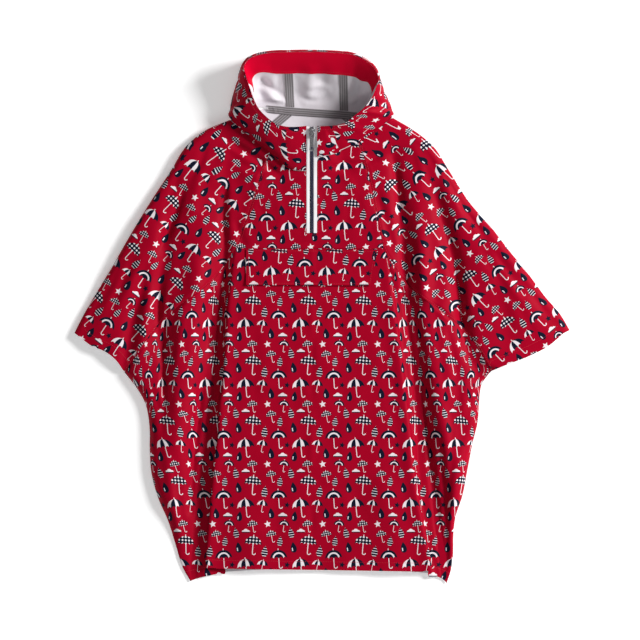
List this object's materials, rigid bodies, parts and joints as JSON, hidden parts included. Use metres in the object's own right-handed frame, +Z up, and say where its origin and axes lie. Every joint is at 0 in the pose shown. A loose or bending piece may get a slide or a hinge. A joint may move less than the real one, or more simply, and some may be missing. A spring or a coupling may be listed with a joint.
{
  "type": "child's hooded rain poncho",
  "caption": "Child's hooded rain poncho with a half zip, batwing raglan sleeves, deep side pleats and a front pocket flap, laid flat on its back.",
  "frame": {"origin": "centre of the underside of the bounding box, on the ground the garment lies on", "axes": "+Z up out of the ground towards the garment's front, +Y towards the hood, +X across the body"},
  "size_m": [0.7189, 0.7736, 0.055],
  "materials": {
    "printed_cloth": "coated woven cloth, red with a small navy and white print",
    "plain_cloth": "plain red coated woven cloth",
    "seam_tape": "grey sealing tape",
    "zip_tape": "white woven zip tape",
    "zip_coil": "navy coil",
    "zip_metal": "silver"
  },
  "bodies": {
    "garment": {"back_body": "printed_cloth", "front_yoke": "printed_cloth", "front_lower": "printed_cloth", "pocket_flap": "printed_cloth", "sleeve_left": "printed_cloth", "sleeve_right": "printed_cloth", "hood_side_left": "printed_cloth", "hood_centre": "printed_cloth", "hood_side_right": "printed_cloth", "hood_facing": "plain_cloth", "hood_tape_left": "seam_tape", "hood_tape_right": "seam_tape", "neck_tape": "seam_tape", "zip_tape_left": "zip_tape", "zip_tape_right": "zip_tape", "zip_coil": "zip_coil", "slider": "zip_metal"},
    "zip_pull": {"pull_tab": "zip_metal"}
  },
  "joints": [
    {"name": "pull_tab_hinge", "type": "hinge", "parent": "garment", "child": "zip_pull", "pos_m": [-0.0148, 0.26891, 0.03753], "axis": [-1, 0, 0], "range_deg": [0, 150]}
  ]
}
